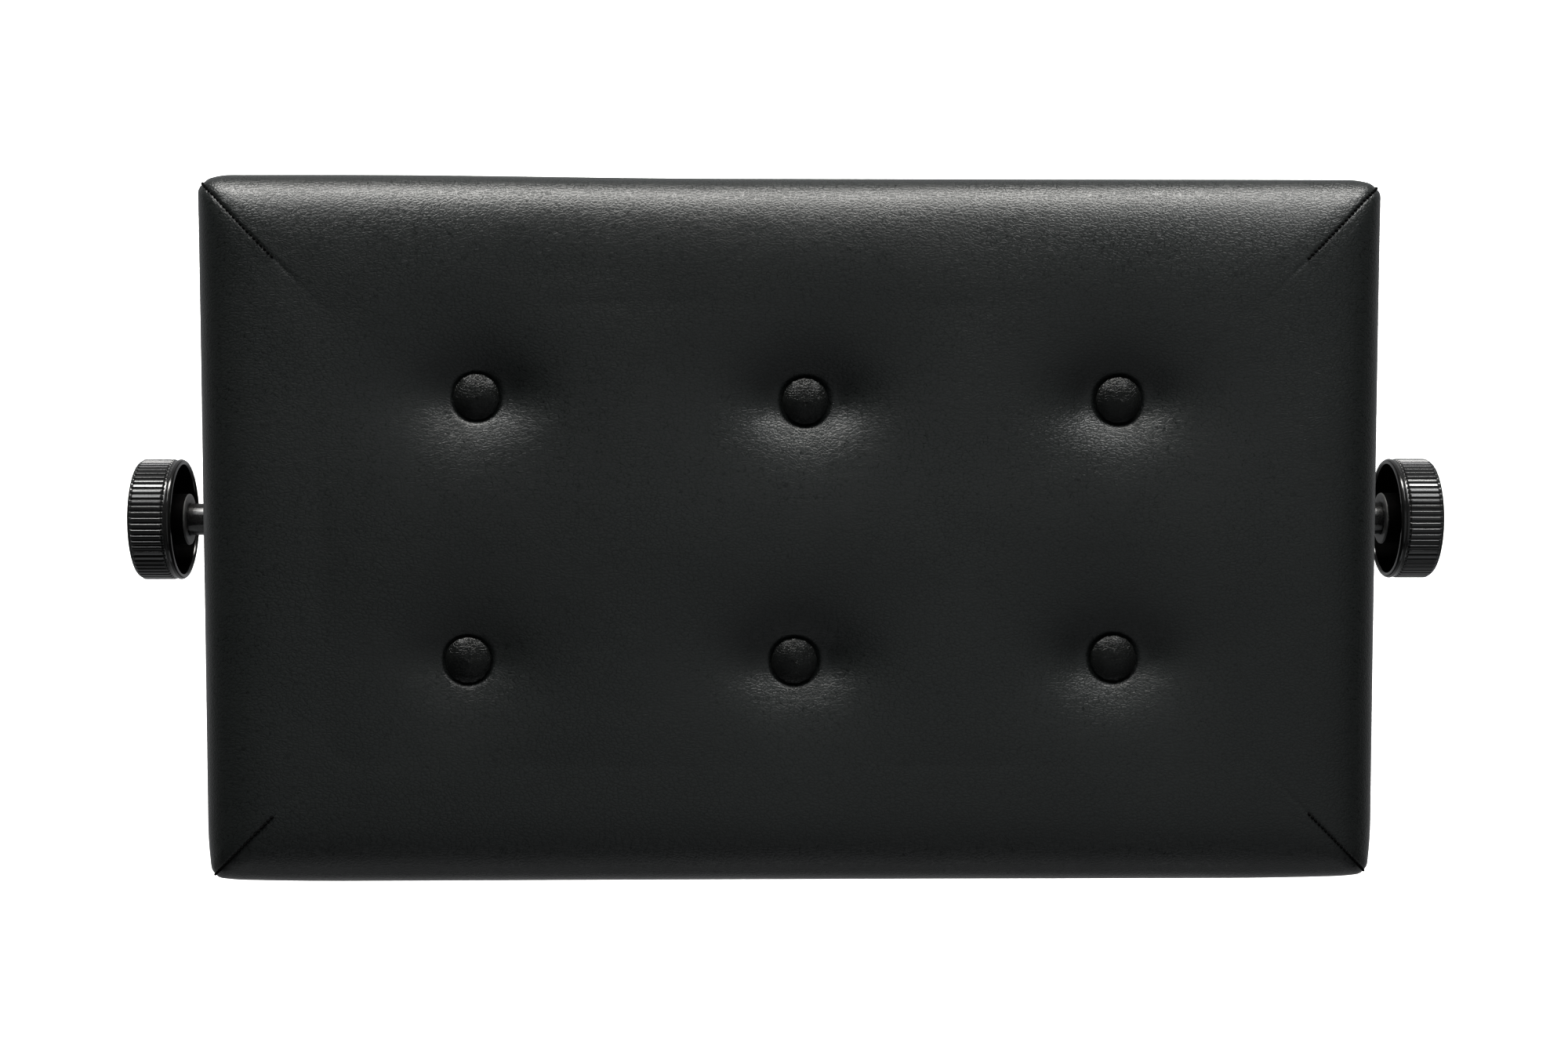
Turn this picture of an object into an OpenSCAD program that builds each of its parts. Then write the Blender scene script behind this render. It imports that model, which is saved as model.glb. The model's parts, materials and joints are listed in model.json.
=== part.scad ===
// Adjustable piano bench: a buttoned cushion on a screw-driven scissor lift in a four-legged wooden base.
// Origin on the floor below the middle of the seat, +X to the right, +Y to the back, +Z up, lift lowered.

/* [Seat] */
// Length of the cushion
seat_l = 550; // [530:5:600]
// Depth of the cushion
seat_w = 330; // [320:5:360]
// Height of the cushion's crown above the floor, fully lowered
seat_h = 480; // [450:5:520]
// Thickness of the seat, from the crown to the dust cover
cushion_t = 76; // [70:1:84]
// Width of the edge that rolls from the side to the flat top
edge_roll = 46; // [40:1:56]
// Diameter of a tufting button
button_d = 21.5; // [18:0.5:23]
// How deep a button pulls the cover down
dimple_depth = 10; // [6:1:12]

/* [Lift] */
// Distance between the end pivots of a scissor arm
arm_l = 340; // [330:1:345]
// Height between the lower and the upper pivots, fully lowered
fold_h = 40; // [38:1:44]
// Turns of the knobs from the lowest to the highest seat
knob_turns = 14; // [8:1:15]
// Pitch of the spindle's thread
thread_pitch = 2; // [1.5:0.25:2]

/* [Knobs] */
// Diameter of a knob over its ribs
knob_d = 62; // [56:1:64]
// Width of a knob
knob_w = 22; // [18:1:26]
// Distance from the middle of the bench to a knob's open rim
knob_x = 311; // [300:1:320]
// Ribs around a knob
knob_ribs = 64; // [48:4:84]

/* [Base] */
// Length over the legs
base_l = 520; // [520:5:530]
// Depth over the legs
base_w = 300; // [300:5:306]
// Side of a leg's square top
leg_top = 46; // [42:1:46]
// Side of a leg's square foot
leg_foot = 30; // [26:1:40]
// Height of the apron boards
apron_h = 75; // [72:1:90]

/* [Hidden] */
$fn = 48;
eps = 1;           // how far a cutter runs past the face it cuts

// Heights of the seat's layers
cover_t = 1.2;     // leatherette
dust_t = 0.8;      // dust cover
board_t = 15;      // plywood
seat_bottom = seat_h - cushion_t;
cover_z = seat_bottom + dust_t;
board_z = cover_z + cover_t;
foam_z = board_z + board_t;
widest_z = foam_z + 36;

// Outline of the cushion
edge_tuck = 4;     // how far the side draws in beside the board
corner_r = 6;      // radius of a corner at the widest level
fold_under = 24;   // width of the cover's fold below the board

// Buttons, by row and column, with the small offsets of hand tufting
button_x = 150;
button_y = 60;
button_offset = [
    [[4.5, 3.5], [6, 1.5], [1, 2]],   // back row
    [[0, 2], [1, 1], [-0.5, 2]]       // front row
];
// How much less than the others each button is drawn down
button_slack = [
    [0, 0, 0],   // back row
    [3, 0, 0]    // front row
];
button_rim = 2;    // height of a button's straight rim
button_dome = 5;   // height of its dome
dimple_r = 34;
twine_d = 1.6;
twine_hole_d = 2;

// Lift: the scissor's side view
upper_z = seat_bottom - 14;
lower_z = upper_z - fold_h;
fold_a = asin(fold_h / arm_l);
reach = arm_l * cos(fold_a);
fixed_x = -arm_l / 2;
slide_x = fixed_x + reach;
centre_x = fixed_x + reach / 2;
centre_z = (upper_z + lower_z) / 2;
screw_travel = knob_turns * thread_pitch;

// Lift: layers outwards from the middle, on each side
sheet_t = 2.5;     // folded steel sheet
arm_t = 4;
arm_w = 25;
inner_arm_y = 88;
spacer_t = 2;
outer_arm_y = inner_arm_y + arm_t + spacer_t;
lower_web_y = outer_arm_y + arm_t + 4;
upper_web_y = inner_arm_y - 3.5 - sheet_t;
rail_l = 380;
rail_flange = 20;
lower_web_h = 38;
upper_web_h = 26;
pin_d = 10;
running = 0.1;     // difference in diameter of a running fit
roller_d = 12;
slot_h = roller_d + 0.3;
rivet_d = 8;
clip_t = 1;
clip_d = 16;

// Spindle, knobs and bushes
spindle_d = 12;
sleeve_d = 16.3;
hub_d = 26.4;
hub_out = 2.8;     // how far the hub stands out of the cup
knob_wall = 2.6;
knob_face_t = 3;
rim_w = 3.5;       // width of the smooth bead at a knob's open side
bush_d = 18;
bush_flange_d = 26;
collar_d = 22;
collar_w = 11;
set_screw_d = 4;
set_screw_x = 17;  // from a knob's rim back to its sleeve's set screw
set_screw_a = 33;  // lean of the sleeve's set screw from the vertical

// Base
apron_t = 20;
setback = 3;       // how far the aprons stand behind the legs' faces
apron_top = seat_bottom - 6;
apron_x = base_l / 2 - setback;
apron_y = base_w / 2 - setback;
inside_x = apron_x - apron_t;
inside_y = apron_y - apron_t;
leg_x = base_l / 2 - leg_top;
leg_y = base_w / 2 - leg_top;
glide_h = 6;
cross_bar_x = 140;
cross_bar_w = 24;
cross_bar_z = lower_z - 21.5;
screw_d = 4;
screw_head_d = 8;
screw_head_h = 2.2;

// Leg fastening, measured along the corner's diagonal from the middle of the bench
diagonal = sqrt(2);
corner_n = (leg_x + leg_y) / diagonal;
leg_flat_n = corner_n - 6;
bracket_n = leg_flat_n - 4.4;
bracket_h = 44;
bracket_z = apron_top - 16 - bracket_h;
bracket_flange = 20;
bolt_m = (leg_x - leg_y) / diagonal;
bolt_z = bracket_z + bracket_h / 2;
bolt_d = 8;

leather = [0.10, 0.11, 0.11];
lacquer = [0.07, 0.07, 0.07];
steel = [0.45, 0.46, 0.48];
coated = [0.14, 0.14, 0.15];
nylon = [0.85, 0.84, 0.80];

// ---- Helpers ----

module span(low, high) translate(low) cube(high - low);

module rod_y(d, from, to, x, z) translate([x, from, z]) rotate([-90, 0, 0]) cylinder(d = d, h = to - from);

module rod_x(d, from, to) translate([from, 0, lower_z]) rotate([0, 90, 0]) cylinder(d = d, h = to - from);

module ring_y(d, hole, from, to, x, z) difference() {
    rod_y(d, from, to, x, z);
    rod_y(hole, from - eps, to + eps, x, z);
}

module to_front() mirror([0, 1, 0]) children();

module to_left() mirror([1, 0, 0]) children();

module both_sides() {
    children();
    to_front() children();
}

module both_ends() {
    children();
    to_left() children();
}

// A cylinder along a back right corner's diagonal, between two distances from the middle of the bench
module rod_diagonal(d, from, to, fn = 48) rotate([0, 0, 45]) translate([from, -bolt_m, bolt_z])
    rotate([0, 90, 0]) cylinder(d = d, h = to - from, $fn = fn);

// ---- Seat ----

// One level of the cushion: a rectangle with round corners, drawn in by inset
function ring(inset, z) =
    let (x = seat_l / 2 - inset, y = seat_w / 2 - inset, r = corner_r + inset * 0.35, steps = 5)
    [for (quarter = [0:3], k = [0:steps])
        let (
            a = 90 * quarter + 90 * k / steps,
            sx = (quarter == 0 || quarter == 3) ? 1 : -1,
            sy = quarter < 2 ? 1 : -1
        )
        [sx * (x - r) + r * cos(a), sy * (y - r) + r * sin(a), z]];

// The cushion's levels from bottom to crown, drawn in by the thickness of what lies outside them
function levels(bottom, shell) =
    let (crown = seat_h - shell)
    concat(
        [ring(edge_tuck + shell, bottom)],
        bottom < foam_z ? [ring(edge_tuck + shell, foam_z)] : [],
        [for (a = [30:30:90])
            ring(edge_tuck * (1 - sin(a)) + shell, foam_z + (widest_z - foam_z) * (1 - cos(a)))],
        [for (a = [10:10:90])
            ring(
                edge_roll * (1 - pow(cos(a), 0.8)) + shell,
                widest_z + (crown - widest_z) * pow(sin(a), 0.8)
            )]
    );

// A closed skin over rings of equal length
module skin(rings) {
    n = len(rings[0]);
    last = (len(rings) - 1) * n;
    polyhedron(
        points = [for (r = rings, p = r) p],
        faces = concat(
            [[for (k = [0:n - 1]) k]],
            [[for (k = [n - 1:-1:0]) last + k]],
            [for (j = [0:len(rings) - 2], k = [0:n - 1])
                let (a = j * n + k, b = j * n + (k + 1) % n)
                each [[a, a + n, b + n], [a, b + n, b]]]
        )
    );
}

module at_button(row, column) {
    offset = button_offset[row][column];
    side = row == 0 ? 1 : -1;
    translate([(column - 1) * button_x + offset[0], side * button_y + offset[1], 0]) children();
}

module at_buttons() for (row = [0, 1], column = [0:2]) at_button(row, column) children();

// Depth of a button's foot below the crown
function drawn_down(row, column) = dimple_depth - button_slack[row][column];

// The funnels that the buttons pull into a flat top at height crown
module dimples(crown) {
    floor_r = button_d / 2 + 1;
    steps = 5;
    for (row = [0, 1], column = [0:2]) {
        depth = drawn_down(row, column);
        at_button(row, column) translate([0, 0, crown]) rotate_extrude() polygon(concat(
            [[0, 2], [dimple_r, 2]],
            [for (k = [0:steps])
                let (share = k / steps)
                [dimple_r + (floor_r - dimple_r) * share, -depth * (1 - cos(180 * share)) / 2]],
            [[0, -depth]]
        ));
    }
}

module twine_holes() at_buttons() translate([0, 0, board_z - 5])
    cylinder(d = twine_hole_d, h = cushion_t, $fn = 24);

module seat_cover() color(leather) difference() {
    skin(levels(cover_z, 0));
    dimples(seat_h);
    difference() {
        skin(levels(board_z, cover_t));
        dimples(seat_h - cover_t);
    }
    span(
        [-seat_l / 2 + edge_tuck + fold_under, -seat_w / 2 + edge_tuck + fold_under, cover_z - eps],
        [seat_l / 2 - edge_tuck - fold_under, seat_w / 2 - edge_tuck - fold_under, board_z + eps]
    );
    twine_holes();
}

module seat_foam() color([0.85, 0.80, 0.62]) difference() {
    skin(levels(foam_z, cover_t));
    dimples(seat_h - cover_t);
    twine_holes();
}

module seat_board() color([0.72, 0.58, 0.40]) difference() {
    translate([0, 0, board_z]) linear_extrude(board_t)
        polygon([for (p = ring(edge_tuck + cover_t, 0)) [p[0], p[1]]]);
    twine_holes();
    rail_screw_shanks();
}

module dust_cover() color([0.12, 0.12, 0.12]) difference() {
    margin = edge_tuck + 8;
    half_l = seat_l / 2 - margin;
    half_w = seat_w / 2 - margin;
    span([-half_l, -half_w, seat_bottom], [half_l, half_w, cover_z]);
    rail_screw_shanks();
}

// A staple with its crown under the dust cover and its two legs up in the board
module staple() {
    wire = 0.7;
    crown = 10;
    translate([-crown / 2, -wire / 2, seat_bottom - wire]) cube([crown, wire, wire]);
    for (x = [-crown / 2, crown / 2 - wire])
        translate([x, -wire / 2, seat_bottom - wire]) cube([wire, wire, 8]);
}

module fabric_staples() color(steel) {
    x_end = seat_l / 2 - edge_tuck - 14;
    y_end = seat_w / 2 - edge_tuck - 14;
    both_sides() for (k = [-5:5]) translate([k * (x_end - 14) / 5, y_end, 0]) staple();
    both_ends() for (k = [-2:2]) translate([x_end, k * (y_end - 20) / 2, 0]) rotate(90) staple();
}

// A leather-covered button: a straight rim under a dome
module button(row, column) color(leather) at_button(row, column)
    translate([0, 0, seat_h - drawn_down(row, column)]) {
        dome_r = (pow(button_d / 2, 2) + pow(button_dome, 2)) / (2 * button_dome);
        cylinder(d = button_d, h = button_rim);
        intersection() {
            translate([0, 0, button_rim + button_dome - dome_r]) sphere(r = dome_r);
            translate([0, 0, button_rim]) cylinder(d = button_d + 2, h = button_dome + 2);
        }
    }

module button_twines() color(nylon) for (row = [0, 1], column = [0:2]) at_button(row, column)
    translate([0, 0, cover_z + 0.1])
        cylinder(d = twine_d, h = seat_h - drawn_down(row, column) - cover_z - 0.1, $fn = 24);

module twine_washers() color(steel) at_buttons() translate([0, 0, cover_z + 0.1]) difference() {
    cylinder(d = 12, h = cover_t - 0.1);
    translate([0, 0, -eps]) cylinder(d = twine_d, h = 2 * cover_t + eps, $fn = 24);
}

// ---- Upper rails, screwed under the board ----

module at_rail_screws() for (x = [-120, -15, 90]) translate([x, upper_web_y - 10, 0]) children();

module rail_screw_shanks() both_sides() at_rail_screws()
    translate([0, 0, seat_bottom - sheet_t]) cylinder(d = screw_d, h = 14, $fn = 24);

// A horizontal slot through a rail's web, as long as the lift's travel
module slide_slot(y, z) {
    first = slide_x - screw_travel - 3;
    last = slide_x + 3;
    rod_y(slot_h, y - eps, y + sheet_t + eps, first, z);
    rod_y(slot_h, y - eps, y + sheet_t + eps, last, z);
    span([first, y - eps, z - slot_h / 2], [last, y + sheet_t + eps, z + slot_h / 2]);
}

module upper_rail() color(coated) difference() {
    union() {
        span(
            [-rail_l / 2, upper_web_y, seat_bottom - upper_web_h],
            [rail_l / 2, upper_web_y + sheet_t, seat_bottom]
        );
        span(
            [-rail_l / 2, upper_web_y + sheet_t - rail_flange, seat_bottom - sheet_t],
            [rail_l / 2, upper_web_y + sheet_t, seat_bottom]
        );
    }
    rod_y(pin_d, upper_web_y - eps, upper_web_y + sheet_t + eps, fixed_x, upper_z);
    slide_slot(upper_web_y, upper_z);
    rail_screw_shanks();
}

module upper_rail_screws() color(steel) both_sides() at_rail_screws() {
    translate([0, 0, seat_bottom - sheet_t]) cylinder(d = screw_d, h = 14, $fn = 24);
    translate([0, 0, seat_bottom - sheet_t - screw_head_h]) cylinder(d = screw_head_d, h = screw_head_h);
}

module upper_pivot_shaft() color(steel)
    rod_y(pin_d, -inner_arm_y - arm_t - 3, inner_arm_y + arm_t + 3, fixed_x, upper_z);

// A spacer inside each inner arm and a retaining ring outside it
module upper_pivot_retainers() color(steel) both_sides() {
    ring_y(clip_d, pin_d, upper_web_y + sheet_t, inner_arm_y - 0.3, fixed_x, upper_z);
    ring_y(clip_d, pin_d, inner_arm_y + arm_t + 0.3, inner_arm_y + arm_t + 0.3 + clip_t, fixed_x, upper_z);
}

// ---- Scissor arms ----

// A flat bar with round ends, from the origin along +X, with a hole for each of its three pins
module arm(near_hole, middle_hole, far_hole) rotate([-90, 0, 0]) difference() {
    union() {
        cylinder(d = arm_w, h = arm_t);
        translate([arm_l, 0, 0]) cylinder(d = arm_w, h = arm_t);
        translate([0, -arm_w / 2, 0]) cube([arm_l, arm_w, arm_t]);
    }
    for (hole = [[0, near_hole], [arm_l / 2, middle_hole], [arm_l, far_hole]])
        translate([hole[0], 0, -eps]) cylinder(d = hole[1], h = arm_t + 2 * eps);
}

module outer_arm() color(coated) translate([fixed_x, outer_arm_y, lower_z]) rotate([0, -fold_a, 0])
    arm(pin_d + running, rivet_d + running, pin_d);

module inner_arm() color(coated) translate([fixed_x, inner_arm_y, upper_z]) rotate([0, fold_a, 0])
    arm(pin_d + running, rivet_d, pin_d + running);

module slide_shaft() color(steel)
    rod_y(pin_d, -outer_arm_y - arm_t - 2, outer_arm_y + arm_t + 2, slide_x, upper_z);

module slide_shaft_retainers() color(steel) both_sides()
    ring_y(clip_d, pin_d, outer_arm_y + arm_t, outer_arm_y + arm_t + clip_t, slide_x, upper_z);

// A flanged roller that runs in a slot: the flange lies on the web's side nearer to the arms
module roller(from, to, flange_from, flange_to, z) difference() {
    union() {
        rod_y(roller_d, min(from, flange_from), max(to, flange_to), slide_x, z);
        rod_y(roller_d + 6, flange_from, flange_to, slide_x, z);
    }
    rod_y(pin_d, min(from, flange_from) - eps, max(to, flange_to) + eps, slide_x, z);
}

module slide_shaft_rollers() color(nylon) both_sides()
    roller(upper_web_y - 0.5, upper_web_y + sheet_t, upper_web_y + sheet_t + 0.4, outer_arm_y, upper_z);

module centre_rivets() color(steel) both_sides() {
    rod_y(rivet_d, inner_arm_y, outer_arm_y + arm_t, centre_x, centre_z);
    rod_y(14, inner_arm_y - 2.4, inner_arm_y, centre_x, centre_z);
    rod_y(14, outer_arm_y + arm_t + 0.3, outer_arm_y + arm_t + 2.4, centre_x, centre_z);
    rod_y(rivet_d, outer_arm_y + arm_t, outer_arm_y + arm_t + 0.3, centre_x, centre_z);
}

module centre_washers() color(nylon) both_sides()
    ring_y(20, rivet_d, inner_arm_y + arm_t, outer_arm_y - 0.3, centre_x, centre_z);

// ---- Nut bar: crosses the spindle and pulls the inner arms' lower ends ----

module nut_bar() color(steel) difference() {
    union() {
        span([slide_x - 8, -inner_arm_y + 0.3, lower_z - 8], [slide_x + 8, inner_arm_y - 0.3, lower_z + 8]);
        span([slide_x - 12, -14, lower_z - 12], [slide_x + 12, 14, lower_z + 12]);
        rod_y(pin_d, -lower_web_y - sheet_t - 3, lower_web_y + sheet_t + 3, slide_x, lower_z);
    }
    rod_x(spindle_d + running, slide_x - 20, slide_x + 20);
}

module nut_bar_rollers() color(nylon) both_sides()
    roller(lower_web_y, lower_web_y + sheet_t + 0.5, lower_web_y - 3.4, lower_web_y - 0.4, lower_z);

module nut_bar_retainers() color(steel) both_sides() {
    inside = inner_arm_y + arm_t + 0.3;
    outside = lower_web_y + sheet_t + 0.5;
    ring_y(clip_d, pin_d, inside, inside + clip_t, slide_x, lower_z);
    ring_y(clip_d, pin_d, outside, outside + clip_t, slide_x, lower_z);
}

// ---- Spindle and knobs ----

module spindle() color(steel) rod_x(spindle_d, -knob_x - 8, knob_x + 8);

// The ribbed rim's outline: each rib is a flat-topped tooth with a narrow groove beside it
function rib_outline(r, depth) =
    let (pitch = 360 / knob_ribs)
    [for (k = [0:knob_ribs - 1], p = [[-0.34, r], [0.34, r], [0.44, r - depth], [0.56, r - depth]])
        [p[1] * cos((k + p[0]) * pitch), p[1] * sin((k + p[0]) * pitch)]];

// A cup with its open side at the origin and its closed face at knob_w, around +Z
module knob_cup() difference() {
    union() {
        rotate_extrude() polygon([
            [knob_d / 2 - 4, 0], [knob_d / 2 - 1, 0], [knob_d / 2, 1], [knob_d / 2, rim_w],
            [knob_d / 2 - 1, rim_w + 0.6], [knob_d / 2 - 1, knob_w - 1.8],
            [knob_d / 2 - 2.8, knob_w], [0, knob_w],
            [0, knob_w - knob_face_t - 2], [knob_d / 2 - 4, knob_w - knob_face_t - 2]
        ]);
        translate([0, 0, rim_w + 0.3]) linear_extrude(knob_w - rim_w - 2.1)
            polygon(rib_outline(knob_d / 2 - 0.1, 0.9));
        translate([0, 0, -hub_out]) cylinder(d = hub_d, h = knob_w - 1 + hub_out);
    }
    difference() {
        translate([0, 0, -eps]) cylinder(d = knob_d - 2 * knob_wall - 2, h = knob_w - knob_face_t + eps);
        translate([0, 0, -2 * eps]) cylinder(d = hub_d, h = knob_w);
    }
    translate([0, 0, -hub_out - eps]) cylinder(d = sleeve_d, h = knob_w - knob_face_t + hub_out + eps);
}

module knob() color([0.05, 0.05, 0.05]) translate([knob_x, 0, lower_z]) rotate([0, 90, 0]) knob_cup();

// A radial hole or screw, leaning from the vertical to the front
module radial(d, from, to, x, lean) translate([x, 0, lower_z]) rotate([lean, 0, 0])
    translate([0, 0, from]) cylinder(d = d, h = to - from, $fn = 24);

module knob_sleeve() color([0.2, 0.2, 0.2]) difference() {
    rod_x(sleeve_d, apron_x + 5, knob_x + knob_w - knob_face_t - 1);
    rod_x(spindle_d, apron_x, knob_x + 8);
    radial(set_screw_d, spindle_d / 2 - eps, sleeve_d, knob_x - set_screw_x, set_screw_a);
}

module thrust_collars() color(steel) both_ends() difference() {
    rod_x(collar_d, inside_x - 0.3 - collar_w, inside_x - 0.3);
    rod_x(spindle_d, inside_x - 20, inside_x + eps);
    radial(set_screw_d, spindle_d / 2 - eps, collar_d, inside_x - 0.3 - collar_w / 2, 0);
}

module set_screws() color([0.1, 0.1, 0.1]) both_ends() {
    radial(set_screw_d, spindle_d / 2, sleeve_d / 2 - 0.8, knob_x - set_screw_x, set_screw_a);
    radial(set_screw_d, spindle_d / 2, collar_d / 2 - 0.4, inside_x - 0.3 - collar_w / 2, 0);
}

module spindle_bushes() color(nylon) both_ends() difference() {
    union() {
        rod_x(bush_d, inside_x, apron_x);
        rod_x(bush_flange_d, apron_x, apron_x + 2.5);
    }
    rod_x(spindle_d + running, inside_x - eps, apron_x + 4);
}

// ---- Wooden base ----

module long_apron() color(lacquer) difference() {
    span([-leg_x, inside_y, apron_top - apron_h], [leg_x, apron_y, apron_top]);
    both_ends() bracket_screw_shanks();
    cross_bar_screw_shanks();
}

module short_apron() color(lacquer) difference() {
    span([inside_x, -leg_y, apron_top - apron_h], [apron_x, leg_y, apron_top]);
    rod_x(bush_d, inside_x - eps, apron_x + eps);
    both_sides() bracket_screw_shanks();
}

// A square leg, tapered on its two inner faces below the apron, with a flat for the bolt on its inner edge
module leg() color(lacquer) difference() {
    shoulder = apron_top - apron_h - 10;
    union() {
        span([leg_x, leg_y, shoulder], [base_l / 2, base_w / 2, apron_top]);
        hull() {
            span([leg_x, leg_y, shoulder - eps], [base_l / 2, base_w / 2, shoulder]);
            span(
                [base_l / 2 - leg_foot, base_w / 2 - leg_foot, glide_h],
                [base_l / 2, base_w / 2, glide_h + eps]
            );
        }
    }
    rotate([0, 0, 45]) span(
        [leg_flat_n - 20, -bolt_m - 20, apron_top - apron_h],
        [leg_flat_n, -bolt_m + 20, apron_top + eps]
    );
    rod_diagonal(bolt_d, leg_flat_n - eps, leg_flat_n + 36);
}

module leg_glides() color([0.25, 0.25, 0.25]) both_ends() both_sides()
    translate([base_l / 2 - leg_foot / 2, base_w / 2 - leg_foot / 2, 0])
        cylinder(d1 = 20, d2 = 24, h = glide_h);

// ---- Corner brackets and leg bolts ----

// A back right bracket: a plate across the corner, with a flange along each apron
module corner_bracket() {
    plate_sum = bracket_n * diagonal;
    difference() {
        union() {
            intersection() {
                rotate([0, 0, 45]) span(
                    [bracket_n - sheet_t, -bolt_m - 60, bracket_z],
                    [bracket_n, -bolt_m + 60, bracket_z + bracket_h]
                );
                span([0, 0, bracket_z], [inside_x, inside_y, bracket_z + bracket_h]);
            }
            span(
                [plate_sum - inside_y - bracket_flange, inside_y - sheet_t, bracket_z],
                [plate_sum - inside_y - 2, inside_y, bracket_z + bracket_h]
            );
            span(
                [inside_x - sheet_t, plate_sum - inside_x - bracket_flange, bracket_z],
                [inside_x, plate_sum - inside_x - 2, bracket_z + bracket_h]
            );
        }
        rod_diagonal(bolt_d, bracket_n - 10, bracket_n + 10);
        bracket_screw_shanks();
    }
}

module corner_brackets() color(steel) both_ends() both_sides() corner_bracket();

// Children placed at each of a back right bracket's screws, with +Z into the apron
module at_bracket_screws() {
    plate_sum = bracket_n * diagonal;
    for (z = [bracket_z + 10, bracket_z + bracket_h - 10]) {
        translate([plate_sum - inside_y - 12, inside_y - sheet_t, z]) rotate([-90, 0, 0]) children();
        translate([inside_x - sheet_t, plate_sum - inside_x - 12, z]) rotate([0, 90, 0]) children();
    }
}

module screw_shank() cylinder(d = screw_d, h = 16, $fn = 24);

module screw() {
    screw_shank();
    translate([0, 0, -screw_head_h]) cylinder(d = screw_head_d, h = screw_head_h);
}

module bracket_screw_shanks() at_bracket_screws() screw_shank();

module bracket_screws() color(steel) both_ends() both_sides() at_bracket_screws() screw();

module hanger_bolts() color(steel) both_ends() both_sides()
    rod_diagonal(bolt_d, bracket_n - 14, leg_flat_n + 36);

// A washer and a hexagon nut on each leg bolt
module hanger_nuts() color(steel) both_ends() both_sides() difference() {
    back = bracket_n - sheet_t;
    union() {
        rod_diagonal(20, back - 1.6, back);
        rod_diagonal(15, back - 8, back - 1.6, 6);
    }
    rod_diagonal(bolt_d, back - 12, back + eps);
}

// ---- Lower rails on cross bars, held by cleats inside the long aprons ----

module lower_rail() color(coated) difference() {
    bottom = cross_bar_z + sheet_t;
    union() {
        span([-rail_l / 2, lower_web_y, bottom], [rail_l / 2, lower_web_y + sheet_t, bottom + lower_web_h]);
        span(
            [-rail_l / 2, lower_web_y + sheet_t - rail_flange, bottom],
            [rail_l / 2, lower_web_y + sheet_t, bottom + sheet_t]
        );
    }
    rod_y(pin_d, lower_web_y - eps, lower_web_y + sheet_t + eps, fixed_x, lower_z);
    slide_slot(lower_web_y, lower_z);
    frame_rivet_shanks();
}

// A shouldered pin riveted into each lower rail, on which an outer arm turns
module lower_pivot_pins() color(steel) both_sides() {
    rod_y(pin_d, outer_arm_y - 0.6, lower_web_y + sheet_t, fixed_x, lower_z);
    rod_y(clip_d, outer_arm_y + arm_t + 0.3, lower_web_y, fixed_x, lower_z);
    rod_y(clip_d, lower_web_y + sheet_t, lower_web_y + sheet_t + 2, fixed_x, lower_z);
    rod_y(clip_d - 2, outer_arm_y - 1.5, outer_arm_y - 0.3, fixed_x, lower_z);
}

module cross_bar() color(coated) difference() {
    end_y = inside_y - sheet_t;
    span(
        [cross_bar_x - cross_bar_w / 2, -end_y, cross_bar_z],
        [cross_bar_x + cross_bar_w / 2, end_y, cross_bar_z + sheet_t]
    );
    frame_rivet_shanks();
}

// An angle on the apron under each end of each cross bar
module cross_bar_cleats() color(steel) both_ends() both_sides() difference() {
    first = cross_bar_x - cross_bar_w / 2;
    last = cross_bar_x + cross_bar_w / 2;
    low = cross_bar_z - sheet_t;
    union() {
        span([first, inside_y - 22, low], [last, inside_y, cross_bar_z]);
        span([first, inside_y - sheet_t, low], [last, inside_y, low + 36]);
    }
    cross_bar_screw_shanks();
    frame_rivet_shanks();
}

module at_cross_bar_screws() both_ends() for (x = [cross_bar_x - 6, cross_bar_x + 6])
    translate([x, inside_y - sheet_t, cross_bar_z + 20]) rotate([-90, 0, 0]) children();

module cross_bar_screw_shanks() at_cross_bar_screws() screw_shank();

module cross_bar_screws() color(steel) both_sides() at_cross_bar_screws() screw();

// Children placed below each rivet's two sheets: the inner ones hold a rail, the outer ones a cleat
module at_frame_rivets() both_ends() both_sides() {
    translate([cross_bar_x, lower_web_y - 8, cross_bar_z]) children();
    translate([cross_bar_x, inside_y - 12, cross_bar_z - sheet_t]) children();
}

module frame_rivet_shanks() at_frame_rivets() cylinder(d = 5, h = 2 * sheet_t, $fn = 24);

module frame_rivets() color(steel) at_frame_rivets() {
    cylinder(d = 5, h = 2 * sheet_t, $fn = 24);
    translate([0, 0, 2 * sheet_t]) cylinder(d = 9, h = 1.8);
    translate([0, 0, -1.8]) cylinder(d = 9, h = 1.8);
}

module seat_bumpers() color([0.15, 0.15, 0.15]) both_ends() both_sides()
    translate([150, (inside_y + apron_y) / 2, apron_top]) cylinder(d1 = 14, d2 = 11, h = 5.7);

// ---- Every node by name ----

seat_cover();
seat_foam();
seat_board();
dust_cover();
fabric_staples();
button(0, 0);  // button_back_left
button(0, 1);  // button_back_middle
button(0, 2);  // button_back_right
button(1, 0);  // button_front_left
button(1, 1);  // button_front_middle
button(1, 2);  // button_front_right
button_twines();
twine_washers();
to_front() upper_rail();  // upper_rail_front
upper_rail();  // upper_rail_back
upper_rail_screws();
upper_pivot_shaft();
upper_pivot_retainers();
to_front() outer_arm();  // outer_arm_front
outer_arm();  // outer_arm_back
slide_shaft();
slide_shaft_rollers();
slide_shaft_retainers();
to_front() inner_arm();  // inner_arm_front
inner_arm();  // inner_arm_back
centre_rivets();
centre_washers();
nut_bar();
nut_bar_rollers();
nut_bar_retainers();
spindle();
to_left() knob();  // knob_left
knob();  // knob_right
to_left() knob_sleeve();  // knob_sleeve_left
knob_sleeve();  // knob_sleeve_right
thrust_collars();
set_screws();
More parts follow.
